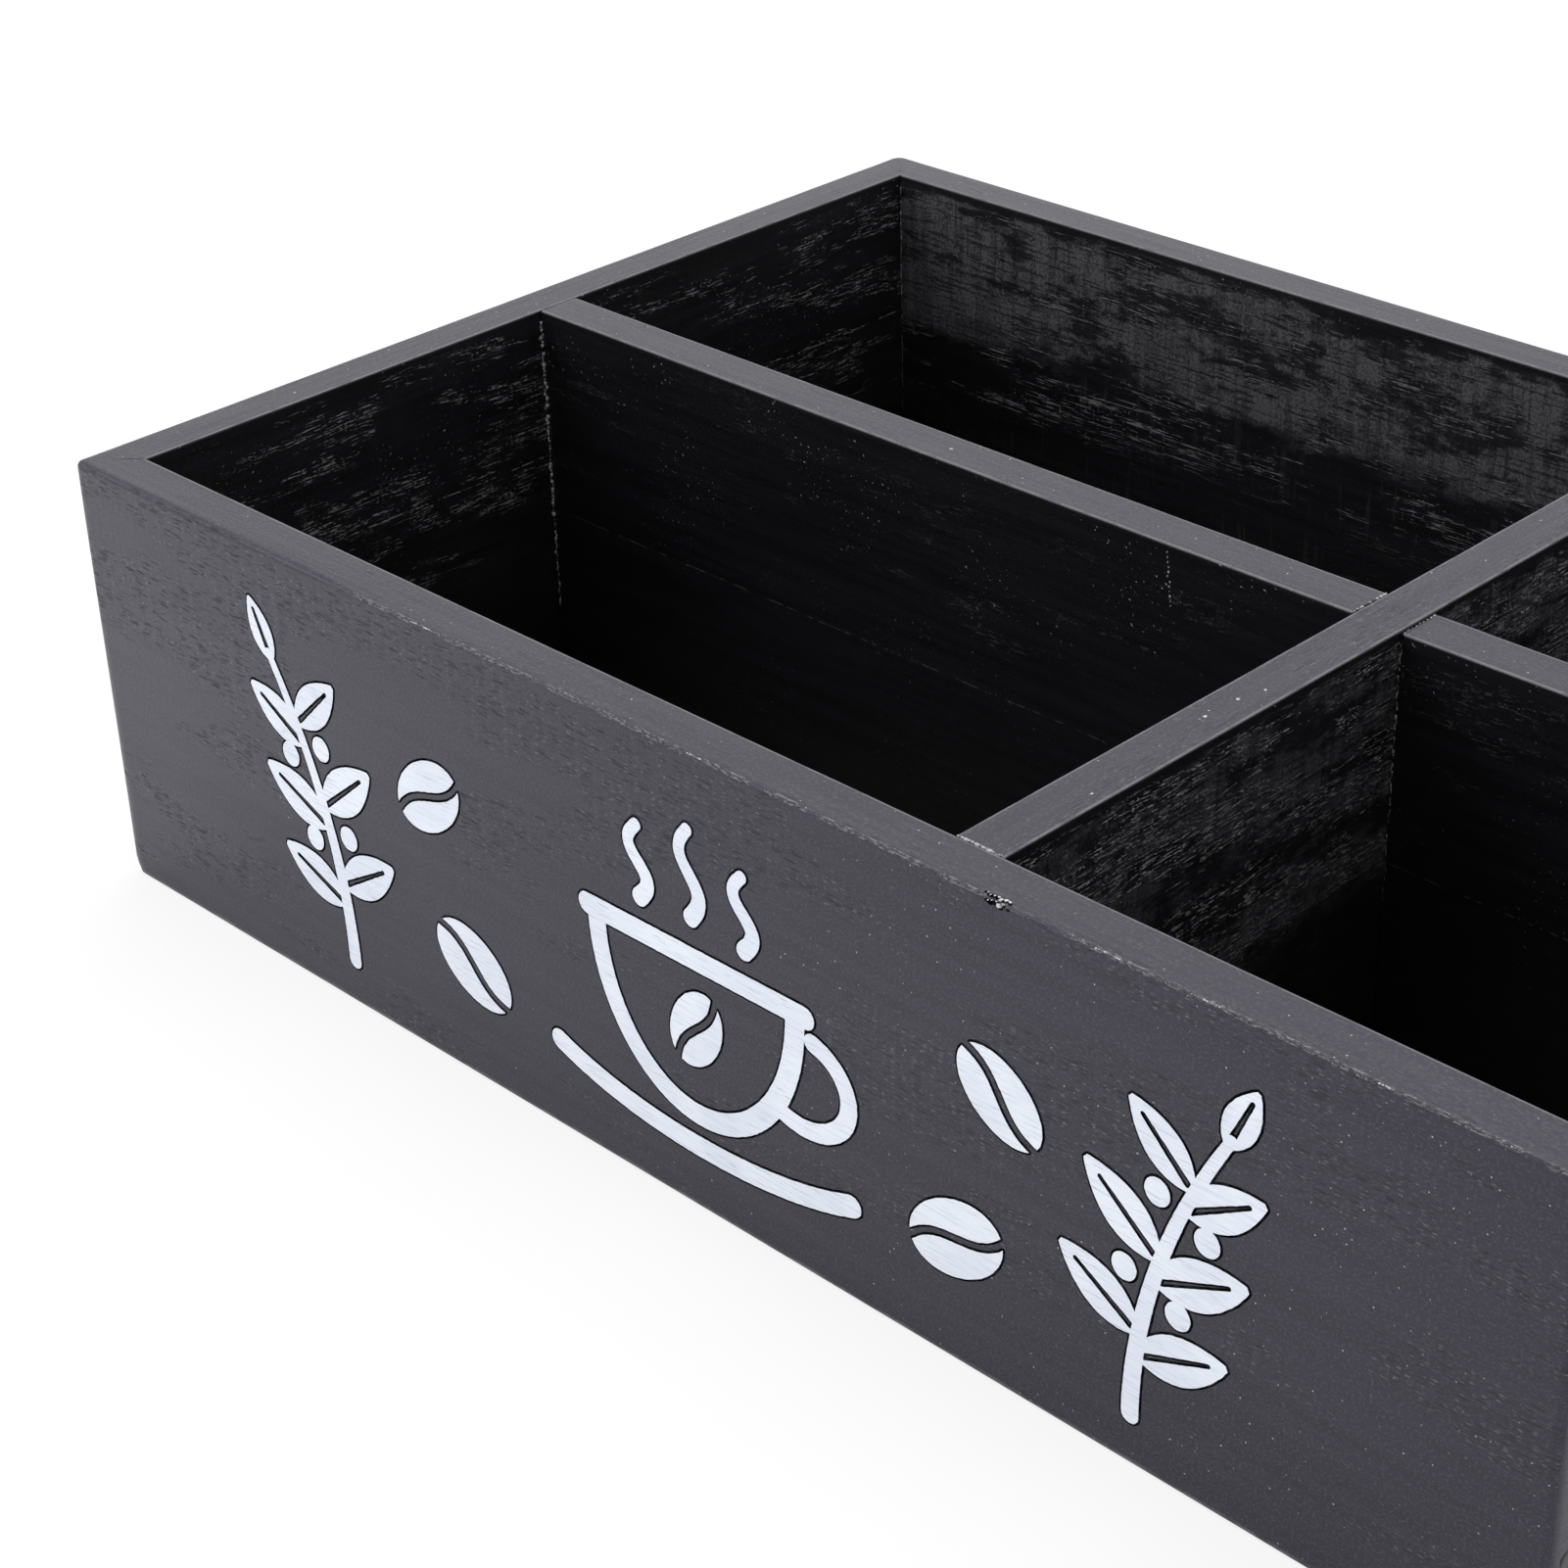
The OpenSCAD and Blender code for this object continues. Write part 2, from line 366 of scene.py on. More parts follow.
class Nodes:
    """A node tree under construction, with short calls for its nodes."""

    def __init__(self, tree):
        self.tree = tree

    def put(self, socket, value):
        """Sets a socket to a value, or links another node's socket to it."""
        if isinstance(value, bpy.types.NodeSocket):
            self.tree.links.new(value, socket)
        elif socket.type == "RGBA":
            socket.default_value = (*value, 1)
        else:
            socket.default_value = value

    def node(self, kind, inputs, **settings):
        made = self.tree.nodes.new("ShaderNode" + kind)
        for key, value in settings.items():
            setattr(made, key, value)
        for key, value in inputs.items():
            self.put(made.inputs[key], value)
        return made

    def attribute(self, name, output):
        return self.node("Attribute", {}, attribute_name=name).outputs[output]

    def parts(self, vector):
        return self.node("SeparateXYZ", {0: vector}).outputs

    def stretched(self, vector, scale):
        """A vector times scale, and flat where scale has two parts."""
        return self.node("VectorMath", {0: vector, 1: (*scale, 0)[:3]}, operation="MULTIPLY").outputs[0]

    def turned(self, vector, scale):
        """A vector in a plane, turned and scaled, so that a pattern doesn't line up with the grain."""
        angled = self.node("VectorRotate", {"Vector": vector, "Angle": 0.6}, rotation_type="Z_AXIS")
        return self.stretched(angled.outputs[0], (scale, scale))

    def noise(self, vector, scale=(), detail=2, roughness=0.5):
        """Noise at a vector, stretched by scale where that is given, and solid where it has three parts."""
        if scale:
            vector = self.stretched(vector, scale)
        dimensions = "3D" if len(scale) == 3 else "2D"
        inputs = {"Vector": vector, "Scale": 1, "Detail": detail, "Roughness": roughness}
        return self.node("TexNoise", inputs, noise_dimensions=dimensions).outputs[0]

    def band(self, value, low, high, to_low=0, to_high=1):
        """A smooth step from to_low at low to to_high at high."""
        inputs = {"Value": value, "From Min": low, "From Max": high, "To Min": to_low, "To Max": to_high}
        return self.node("MapRange", inputs, interpolation_type="SMOOTHSTEP").outputs[0]

    def math(self, operation, *values):
        """Works on one value, or joins two or more by one operation."""
        result = values[0]
        if len(values) == 1:
            return self.node("Math", {0: result}, operation=operation).outputs[0]
        for value in values[1:]:
            result = self.node("Math", {0: result, 1: value}, operation=operation).outputs[0]
        return result

    def times(self, *values):
        return self.math("MULTIPLY", *values)

    def line(self, value, centre, half_width, soft):
        """1 where a value is within half_width of the centre."""
        away = self.math("ABSOLUTE", self.math("SUBTRACT", value, centre))
        return self.band(away, half_width - soft, half_width, 1, 0)

    def mix(self, share, a, b):
        return self.node("Mix", {0: share, 6: a, 7: b}, data_type="RGBA").outputs[2]

    def dots(self, vector, radius, rarity):
        """Spots of a share of a cell, each of its own size and strength, in the cells whose
        random colour passes rarity."""
        inputs = {"Vector": vector, "Scale": 1, "Randomness": 1}
        cells = self.node("TexVoronoi", inputs, voronoi_dimensions="2D")
        colour = self.node("SeparateColor", {0: cells.outputs["Color"]}).outputs
        chosen = self.math("GREATER_THAN", colour[0], rarity)
        size = self.band(colour[1], 0, 1, 0.4 * radius, radius)
        ratio = self.math("DIVIDE", cells.outputs["Distance"], size)
        return self.times(self.band(ratio, 0.6, 1, 1, 0), chosen, self.band(colour[2], 0, 1, 0.3, 1))

    def bump(self, height, distance, strength=1.0, normal=None):
        inputs = {"Height": height, "Distance": distance, "Strength": strength}
        if normal is not None:
            inputs["Normal"] = normal
        return self.node("Bump", inputs).outputs[0]


class Shader(Nodes):
    """A material under construction."""

    def __init__(self, name):
        self.material = bpy.data.materials.new(name)
        self.material.use_nodes = True
        super().__init__(self.material.node_tree)
        self.surface = self.tree.nodes["Principled BSDF"]

    def finish(self, colour, roughness, normal=None, tint=None):
        """Connects what the surface shows, and gives the material."""
        inputs = {"Base Color": colour, "Roughness": roughness, "Specular Tint": tint, "Normal": normal}
        for key, value in inputs.items():
            if value is not None:
                self.put(self.surface.inputs[key], value)
        return self.material


# Colours of the stain, from bare black to rubbed pale, with painted sheen, highlight and glint among them
PORE = (0.007, 0.007, 0.008)
OUTER_DARK = (0.005, 0.0042, 0.009)
OUTER_PALE = (0.010, 0.0088, 0.0155)
# Paler clouds on the outer faces, partly painted sheen
PALE_CLOUD_AND_SHEEN = (0.026, 0.0235, 0.033)
RIM_DARK = (0.018, 0.0165, 0.0245)
RIM_PALE = (0.030, 0.0285, 0.037)
BARE_DARK = (0.003, 0.003, 0.004)
BARE_PALE = (0.007, 0.0068, 0.0085)
FILM = (0.085, 0.084, 0.092)
# Light dashes, stave seams and flecks inside; on the dashes partly painted glint
PALE_DASH_AND_GLINT = (0.42, 0.42, 0.44)
RUBBED_AND_HIGHLIGHT = (0.17, 0.17, 0.18)
# Pale of rubbed paint, partly painted highlight on the edges
SPECK = (0.62, 0.62, 0.64)
DUST = (0.11, 0.108, 0.118)
# What the stain's gloss takes from white light
GLOSS_TINT = (0.84, 0.8, 1.0)


def waved(s, grain, reach):
    """The grain's coordinates with its lines bent up and down by up to about reach."""
    along, across, _ = s.parts(grain)
    bend = s.math("SUBTRACT", s.noise(grain, (22, 40), detail=2), 0.5)
    return s.node("CombineXYZ", {0: along, 1: s.math("ADD", across, s.times(bend, 2 * reach))}).outputs[0]


def outer_specks(s, grain, colour, speckled_from):
    """Bright specks and fainter dust, few up to speckled_from along the board."""
    along = s.math("FRACT", s.parts(grain)[0])
    density = s.band(along, speckled_from - 30 * MM, speckled_from + 40 * MM, 0.15, 1)
    gathered = s.times(density, s.band(s.noise(s.turned(grain, 45), detail=3), 0.38, 0.6, 0.3, 1))
    bright = s.dots(s.turned(grain, 620), 0.1, s.band(gathered, 0, 1, 1, 0.82))
    dust = s.dots(s.turned(grain, 900), 0.13, s.band(gathered, 0, 1, 1, 0.7))
    colour = s.mix(s.times(dust, 0.7), colour, DUST)
    return s.mix(s.times(bright, 0.75), colour, SPECK), bright


def open_grain_patches(s, grain, height):
    """Short dark dashes of open grain and paler raised ones, in patches, most near a board's top."""
    patches = s.noise(grain, (17, 60), detail=3)
    upper = s.band(height, 20 * MM, 66 * MM, -0.02, 0.07)
    patches = s.band(s.math("ADD", patches, upper), 0.52, 0.6)
    pores = s.dots(s.stretched(grain, (300, 2100)), 0.5, 0.25)
    raised = s.dots(s.stretched(grain, (550, 1900)), 0.3, 0.5)
    return s.times(pores, patches), s.times(raised, patches)


def rubbed_edge_and_light(s, grain, colour, edge):
    """A dashed pale line on a crisp edge, partly worn paint and partly painted highlight, with painted
    shadow in dark broken dashes just under it.
    """
    wear = s.attribute("edge_wear", "Fac")
    dashes = s.noise(grain, (900, 2500), detail=3, roughness=0.75)
    runs = s.noise(grain, (90, 0), detail=2)
    # Partly painted highlight: the pale dashed line along the crisp edge
    rubbed_and_highlight = s.times(
        s.line(edge, 0.4 * MM, 0.17 * MM, 0.08 * MM),
        s.band(dashes, 0.45, 0.56),
        s.band(runs, 0.36, 0.5),
        wear)
    # Painted shadow: dark broken dashes just under the edge
    shadow_breaks = s.noise(grain, (420, 1500), detail=2, roughness=0.7)
    painted_edge_shadow = s.times(
        s.line(edge, 0.95 * MM, 0.3 * MM, 0.15 * MM),
        s.band(shadow_breaks, 0.5, 0.56),
        s.band(runs, 0.4, 0.52),
        wear)
    colour = s.mix(s.times(painted_edge_shadow, 0.9), colour, PORE)
    return s.mix(rubbed_and_highlight, colour, RUBBED_AND_HIGHLIGHT), rubbed_and_highlight


def stain_outer(name, speckled_from):
    """Black stain on the outer faces: satin and faintly purple, with pores, grit and specks, and paler
    clouds that are partly painted sheen, strongest at the board's start and towards the top.
    """
    s = Shader(name)
    grain = s.attribute("grain", "Vector")
    along, _, height = s.parts(grain)
    along = s.math("FRACT", along)
    streaks = s.noise(grain, (14, 420), detail=5, roughness=0.6)
    clouds = s.noise(grain, (12, 40), detail=3)
    grit = s.noise(grain, (1900, 2600), detail=1)
    # Painted sheen: the paler clouds fade out along the board from its start and grow towards the top, as
    # light falls on the face
    painted_sheen_share = s.times(s.band(along, 0, 190 * MM, 1, 0), s.band(height, 0, 70 * MM, 0.75, 1))
    pores, raised = open_grain_patches(s, grain, height)
    colour = s.mix(s.band(streaks, 0.3, 0.7), OUTER_DARK, OUTER_PALE)
    colour = s.mix(s.times(s.band(clouds, 0.3, 0.7, 0.3, 0.75), painted_sheen_share), colour, PALE_CLOUD_AND_SHEEN)
    colour = s.mix(s.band(grit, 0.5, 0.72, 0, 0.2), colour, DUST)
    colour = s.mix(pores, colour, PORE)
    colour = s.mix(s.times(raised, 0.8), colour, DUST)
    colour, bright = outer_specks(s, grain, colour, speckled_from)
    colour, rubbed_and_highlight = rubbed_edge_and_light(s, grain, colour, s.attribute("outer_edge", "Fac"))
    scuffs = s.noise(grain, (160, 900), detail=3, roughness=0.7)
    scuffed = s.times(s.band(height, 0.7 * MM, 1.5 * MM, 0.7, 0), s.band(scuffs, 0.4, 0.6))
    colour = s.mix(scuffed, colour, DUST)
    wrinkles = s.noise(waved(s, s.stretched(grain, (900, 260)), 0.6), detail=1)
    wrinkled = s.times(s.band(along, 12 * MM, 60 * MM, 1, 0), s.band(height, 25 * MM, 60 * MM, 0, 1))
    normal = s.bump(s.math("ADD", s.times(streaks, 0.8), s.times(wrinkles, wrinkled)), 0.06 * MM, 0.5)
    details = s.math("ADD", s.times(grit, 0.2), bright, rubbed_and_highlight, s.times(raised, 0.5), s.times(pores, -1))
    normal = s.bump(details, 0.12 * MM, 0.9, normal)
    roughness = s.math("ADD", s.band(streaks, 0.3, 0.7, 0.34, 0.29), s.times(pores, 0.3))
    return s.finish(colour, roughness, normal, GLOSS_TINT)


def stain_rim(name, open_grain):
    """The same stain on the top edges, paler, with a painted highlight along the inner edge. open_grain is
    the share of dark grain lines.
    """
    s = Shader(name)
    grain = s.attribute("grain", "Vector")
    inner = s.attribute("inner_edge", "Fac")
    streaks = s.noise(grain, (25, 900), detail=4, roughness=0.6)
    grit = s.noise(grain, (1500, 2400), detail=1)
    patches = s.noise(grain, (30, 130), detail=3)
    patches = s.times(s.band(patches, 0.42, 0.56), open_grain)
    lines = s.times(s.dots(s.stretched(grain, (230, 2100)), 0.44, 0.3), patches)
    raised = s.times(s.dots(s.stretched(grain, (420, 1900)), 0.3, 0.5), patches)
    specks = s.dots(s.turned(grain, 520), 0.1, 0.9)
    thin = s.noise(grain, (180, 0), detail=2)
    # Painted highlight along the rounded inner top edge
    painted_arris_highlight = s.times(s.line(inner, 0.3 * MM, 0.28 * MM, 0.15 * MM), s.band(thin, 0.3, 0.55, 0.4, 1))
    colour = s.mix(s.band(streaks, 0.3, 0.7), RIM_DARK, RIM_PALE)
    colour = s.mix(s.band(grit, 0.5, 0.8, 0, 0.35), colour, DUST)
    colour = s.mix(lines, colour, PORE)
    colour = s.mix(raised, colour, DUST)
    colour = s.mix(s.times(specks, 0.8), colour, SPECK)
    colour = s.mix(s.times(painted_arris_highlight, 0.7), colour, RUBBED_AND_HIGHLIGHT)
    colour, rubbed_and_highlight = rubbed_edge_and_light(s, grain, colour, s.attribute("outer_edge", "Fac"))
    normal = s.bump(streaks, 0.04 * MM, 0.4)
    details = s.math("ADD", s.times(grit, 0.3), specks, rubbed_and_highlight, raised, s.times(lines, -1))
    normal = s.bump(details, 0.12 * MM, 0.9, normal)
    return s.finish(colour, s.band(streaks, 0.3, 0.7, 0.31, 0.26), normal, GLOSS_TINT)


def grain_and_glint_dashes(s, grain, dash_length, scarcity):
    """Pale dashes of raised grain, partly painted glints off its ridges, in bunches of broken lines.
    scarcity is how few bunches.
    """
    bent = waved(s, grain, 1.6 * MM)
    lines = s.noise(bent, (1 / dash_length, 3300), detail=1)
    breaks = s.noise(bent, (4.5 / dash_length, 2500), detail=1)
    bunches = s.noise(bent, (24, 130), detail=5, roughness=0.75)
    bunches = s.band(bunches, scarcity - 0.03, scarcity + 0.05)
    drawn = s.times(s.band(lines, 0.58, 0.62), s.band(breaks, 0.42, 0.56, 0.15, 1), bunches)
    beads = s.times(s.dots(s.stretched(bent, (900, 2300)), 0.32, 0.72), bunches)
    return s.math("MAXIMUM", drawn, beads)


def film_shares(s, grain, level, edge, film_floor):
    """Shares of the paler film inside: where it lies, the same with its smears, its thin runs, and
    its speckle. level is the wandering height, and film_floor how far down the film reaches."""
    blotches = s.noise(grain, (34, 85), detail=7, roughness=0.75)
    gaps = s.noise(grain, (95, 1500), detail=2)
    smears = s.noise(grain, (420, 40), detail=4, roughness=0.6)
    speckle = s.noise(s.turned(grain, 1700), detail=2, roughness=0.7)
    tears = s.noise(grain, (90, 260), detail=3, roughness=0.6)
    torn = s.times(s.math("SUBTRACT", tears, 0.5), 12 * MM)
    drips = s.noise(grain, (800, 45), detail=1)
    area = s.times(
        s.band(s.math("ADD", level, torn), film_floor - 5 * MM, film_floor + 3 * MM),
        s.band(blotches, 0.42, 0.53, 0.12, 1),
        s.band(gaps, 0.57, 0.62, 1, 0.3),
        s.band(drips, 0.26, 0.32, 0.5, 1),
        s.band(s.math("ADD", edge, torn), 2 * MM, 4 * MM, 0.1, 1),
        s.band(edge, 0.9 * MM, 1.6 * MM))
    smeared = s.times(area, s.band(smears, 0.35, 0.62, 0.55, 1), s.band(speckle, 0.35, 0.65, 0.45, 1.25))
    runs = s.times(s.band(drips, 0.6, 0.72), s.band(blotches, 0.44, 0.6), 0.12)
    return area, smeared, runs, speckle


def stave_joint(s, grain, height, joint, wander):
    """A broken light line where two staves join, at the height joint."""
    broken = s.noise(grain, (190, 0), detail=5, roughness=0.8)
    joint_height = s.math("ADD", joint, s.times(wander, 3 * MM))
    return s.times(s.line(height, joint_height, 0.17 * MM, 0.1 * MM), s.band(broken, 0.47, 0.56))


def light_flecks(s, grain, height):
    """Little light flecks in clusters, most near the top."""
    clusters = s.noise(s.turned(grain, 48), detail=4, roughness=0.7)
    flecks = s.noise(s.turned(grain, 1), (1000, 1900), detail=2)
    return s.times(
        s.band(flecks, 0.73, 0.78), s.band(clusters, 0.49, 0.6), s.band(height, 40 * MM, 76 * MM, 0.15, 1))


def stain_inner(
        name, film, film_floor, dashes, dash_length, scarcity, dash_floor, sway, joint, joint_share, specks):
    """Thin stain inside: glossy black, with a paler film and light grain dashes above, the dashes partly
    painted glints.
    film, dashes, joint_share and specks are strengths, the floors are the heights that film and
    dashes reach down to, sway is how far these wander, and joint is the height of the line
    between two staves."""
    s = Shader(name)
    grain = s.attribute("grain", "Vector")
    edge = s.attribute("inner_edge", "Fac")
    height = s.parts(grain)[2]
    wander = s.math("SUBTRACT", s.noise(grain, (9, 30), detail=3), 0.5)
    level = s.math("ADD", height, s.times(wander, sway))
    streaks = s.noise(grain, (22, 500), detail=6, roughness=0.65)
    area, smeared, runs, speckle = film_shares(s, grain, level, edge, film_floor)
    covered = s.times(smeared, film)
    # Partly painted glints: the light grain dashes
    lit = s.times(
        grain_and_glint_dashes(s, grain, dash_length, scarcity),
        s.band(level, dash_floor - 5 * MM, dash_floor + 3 * MM, 0.06, 1),
        s.band(edge, 1 * MM, 3 * MM),
        s.band(area, 0, 0.7, 1, 1 - film),
        dashes)
    seam = s.times(stave_joint(s, grain, height, joint, wander), joint_share)
    flecks = s.times(light_flecks(s, grain, height), specks)
    colour = s.mix(s.band(streaks, 0.3, 0.7), BARE_DARK, BARE_PALE)
    colour = s.mix(s.math("MAXIMUM", covered, s.times(runs, film)), colour, FILM)
    for light in (lit, seam, flecks):
        colour = s.mix(light, colour, PALE_DASH_AND_GLINT)
    normal = s.bump(streaks, 0.07 * MM, 0.4)
    normal = s.bump(s.math("ADD", lit, seam, flecks, s.times(speckle, 0.3)), 0.12 * MM, 0.8, normal)
    return s.finish(colour, s.band(covered, 0, 0.6, 0.34, 0.46), normal)


def foot_wood():
    """Undersides of the boards: thinly stained end and edge grain."""
    s = Shader("foot_wood")
    grain = s.attribute("grain", "Vector")
    streaks = s.noise(grain, (30, 700), detail=5, roughness=0.65)
    colour = s.mix(s.band(streaks, 0.3, 0.7), (0.02, 0.018, 0.017), (0.055, 0.048, 0.042))
    return s.finish(colour, s.band(streaks, 0.3, 0.7, 0.75, 0.6), s.bump(streaks, 0.1 * MM, 0.6))


def base_wood():
    """The base board: dull black stain on rotary-cut veneer."""
    s = Shader("base_wood")
    place = s.node("TexCoord", {}).outputs["Object"]
    figure = s.noise(place, (12, 55, 12), detail=6, roughness=0.55)
    fibres = s.noise(place, (90, 2200, 300), detail=3)
    rings = s.math("SINE", s.times(figure, 60))
    colour = s.mix(s.band(rings, -1, 1), (0.008, 0.0078, 0.0095), (0.017, 0.0162, 0.019))
    colour = s.mix(s.band(fibres, 0.55, 0.75, 0, 0.6), colour, PORE)
    normal = s.bump(s.math("ADD", fibres, s.times(rings, 0.2)), 0.08 * MM, 0.6)
    return s.finish(colour, s.band(rings, -1, 1, 0.6, 0.5), normal)


def drawn_steel():
    """Bright wire of the brads, faintly drawn along its length."""
    s = Shader("drawn_steel")
    place = s.node("TexCoord", {}).outputs["Object"]
    marks = s.noise(place, (6000, 6000, 500), detail=2)
    colour = s.mix(s.band(marks, 0.3, 0.7), (0.42, 0.42, 0.44), (0.6, 0.6, 0.62))
    s.surface.inputs["Metallic"].default_value = 1.0
    return s.finish(colour, s.band(marks, 0.3, 0.7, 0.45, 0.3), s.bump(marks, 0.02 * MM, 0.5))


def white_paint():
    """Thin matt paint that follows the grain and is scratched along it."""
    s = Shader("white_paint")
    x, _, z = s.parts(s.node("TexCoord", {}).outputs["Object"])
    place = s.node("CombineXYZ", {0: x, 1: z}).outputs[0]
    fibres = s.noise(place, (110, 3000), detail=3, roughness=0.65)
    clouds = s.noise(place, (60, 60), detail=2)
    scratches = s.noise(place, (190, 4200), detail=2)
    colour = s.mix(s.band(clouds, 0.35, 0.65), (0.74, 0.785, 0.88), (0.80, 0.845, 0.93))
    colour = s.mix(s.band(fibres, 0.5, 0.72, 0, 0.7), colour, (0.56, 0.6, 0.72))
    colour = s.mix(s.band(scratches, 0.68, 0.75, 0, 0.6), colour, (0.3, 0.31, 0.36))
    return s.finish(colour, 0.55, s.bump(fibres, 0.05 * MM, 0.5))


def paint_outline():
    """Dull dark line round the paint, partly an ink halo and partly painted shadow at the paint's edge."""
    s = Shader("paint_outline")
    place = s.node("TexCoord", {}).outputs["Object"]
    film = s.noise(place, (700, 700, 700), detail=2)
    # Partly painted shadow: no gloss, so the line reads black
    s.surface.inputs["Specular IOR Level"].default_value = 0.0
    return s.finish(s.mix(s.band(film, 0.4, 0.7), (0.002, 0.002, 0.0022), (0.016, 0.016, 0.018)), 0.8)


def dried_glue(name, dark, pale):
    """Squeezed-out glue or filler with a thin film of stain on it."""
    s = Shader(name)
    place = s.node("TexCoord", {}).outputs["Object"]
    film = s.noise(place, (900, 900, 900), detail=3)
    return s.finish(s.mix(s.band(film, 0.4, 0.58), dark, pale), 0.3, s.bump(film, 0.1 * MM, 0.5))


# The painted decoration on the front, drawn in millimetres from the middle of the front's bottom
# edge, u to the right and v up. A shape is an outline and the cuts that stay bare in it

# How far the paint and the dark line round it stand proud, and how deep their root is
PAINT_DEPTH = 0.1 * MM
LINE_DEPTH = 0.02 * MM
PAINT_ROOT = 0.06 * MM

# In the drawing's millimetres: the paint's sloping edge, the dark line, the even steps of an
# outline, how far a hand shakes and over what span, and a brush stroke
PAINT_SLOPE = 0.05
LINE_WIDTH = 0.33
OUTLINE_STEP = 0.55
OUTLINE_SHAKE = 0.07
SHAKE_SPAN = 0.9
STROKE = 4.0


def curve_points(x_at, y_at, steps=40):
    """Points of a curve given by two functions of a share from 0 to 1."""
    return [(x_at(i / steps), y_at(i / steps)) for i in range(steps + 1)]


def placed(points, centre, tilt, flip=1):
    """Points turned by tilt degrees, mirrored where flip is -1, and moved to the centre."""
    cos, sin = math.cos(math.radians(tilt)), math.sin(math.radians(tilt))
    return [(centre[0] + flip * (x * cos - y * sin), centre[1] + x * sin + y * cos) for x, y in points]


def ellipse_arc(centre, radii, start, stop):
    """Part of an ellipse, from start to stop in degrees."""
    return curve_points(
        lambda s: centre[0] + radii[0] * math.cos(math.radians(between(start, stop, s))),
        lambda s: centre[1] + radii[1] * math.sin(math.radians(between(start, stop, s))), 56)


def stroke(points, width, end_width=None):
    """Outline of a round-ended stroke along a line, from width to end_width."""
    end_width = end_width or width
    last = len(points) - 1
    left, right = [], []
    for i, (x, y) in enumerate(points):
        before, after = Vector(points[max(i - 1, 0)]), Vector(points[min(i + 1, last)])
        ahead = (after - before).normalized()
        half = between(width, end_width, i / last) / 2
        left.append((x - ahead.y * half, y + ahead.x * half))
        right.append((x + ahead.y * half, y - ahead.x * half))
    return right + round_end(right[-1], left[-1]) + left[::-1] + round_end(left[0], right[0])


def round_end(start, stop, steps=8):
    """Points between two on the half circle that lies to the right of the way from start to stop."""
    middle = (Vector(start) + Vector(stop)) / 2
    arm = Vector(start) - middle
    return [placed([arm], middle, 180 * i / steps)[0] for i in range(1, steps)]


def cup_shapes():
    """A bowl-shaped cup on a saucer, with a bean on it and three wisps of steam."""
    shapes = [
        (stroke([(-23, 46), (23, 46)], STROKE), []),
        (stroke(ellipse_arc((0, 45), (21, 27), 182, 358), STROKE), []),
        (stroke(ellipse_arc((22, 34.5), (9.5, 8), 75, -125), STROKE * 0.85), []),
        (stroke(ellipse_arc((0, 29), (44, 17), 224, 316), STROKE), []),
        bean_shape((0, 33.5), 62, 0.8),
    ]
    for centre, foot, top in ((-11, 52, 64.5), (0, 53, 68), (11, 52, 64.5)):
        wisp = curve_points(
            lambda s, c=centre: c + 1.9 * math.sin(2 * math.pi * s),
            lambda s, a=foot, b=top: between(a, b, s))
        shapes.append((stroke(wisp, STROKE * 0.8, STROKE * 0.55), []))
    return shapes


def bean_shape(centre, tilt, size):
    """A solid bean with a bare wavy slit along it."""
    oval = ellipse_arc((0, 0), (9.5 * size, 6.4 * size), 0, 354)
    slit = curve_points(lambda s: 24 * size * (s - 0.5), lambda s: 1.5 * size * math.sin(2 * math.pi * s))
    return placed(oval, centre, tilt), [placed(stroke(slit, 1.5), centre, tilt)]


def leaf_shape(root, angle, length, flip):
    """A solid pointed leaf with a bare midrib."""
    def half_width(s):
        return 0.235 * length * math.sin(math.pi * s ** 0.85) ** 0.8

    upper = curve_points(lambda s: length * s, half_width)
    lower = curve_points(lambda s: length * (1 - s), lambda s: -half_width(1 - s))
    midrib = stroke([(1.5, 0), (0.78 * length, 0)], 1.1, 0.7)
    return placed(lower[1:-1] + upper[:-1], root, angle, flip), [placed(midrib, root, angle, flip)]


def branch_shapes(flip):
    """A tall branch of paired leaves and berries, that bends away from the middle."""
    def stem_at(s):
        return flip * (84 + 15 * s * s), between(9, 62, s)

    stem = [stem_at(i / 40) for i in range(41)]
    shapes = [(stroke(stem, STROKE * 0.8, STROKE * 0.45), [])]
    for share, out_angle, in_angle, length in (
        (0.2, 22, 148, 17), (0.46, 24, 140, 17.5), (0.72, 30, 136, 15.5)
    ):
        shapes.append(leaf_shape(stem_at(share), out_angle, length, flip))
        shapes.append(leaf_shape(stem_at(share + 0.07), in_angle, length, flip))
    shapes.append(leaf_shape(stem_at(0.97), 66, 12, flip))
    for share, across in ((0.395, 5.2), (0.665, 5.2), (0.46, -4.9), (0.74, -4.8)):
        u, v = stem_at(share)
        shapes.append((ellipse_arc((u + flip * across, v), (2.2, 2.3), 0, 354), []))
    return shapes


def motif_shapes():
    """The whole decoration, mirrored about the cup."""
    shapes = cup_shapes()
    for flip in (-1, 1):
        shapes.append(bean_shape((flip * 52, 22), 28 * flip, 1.0))
        shapes.append(bean_shape((flip * 60, 50), -38 * flip, 0.92))
        shapes += branch_shapes(flip)
    return shapes


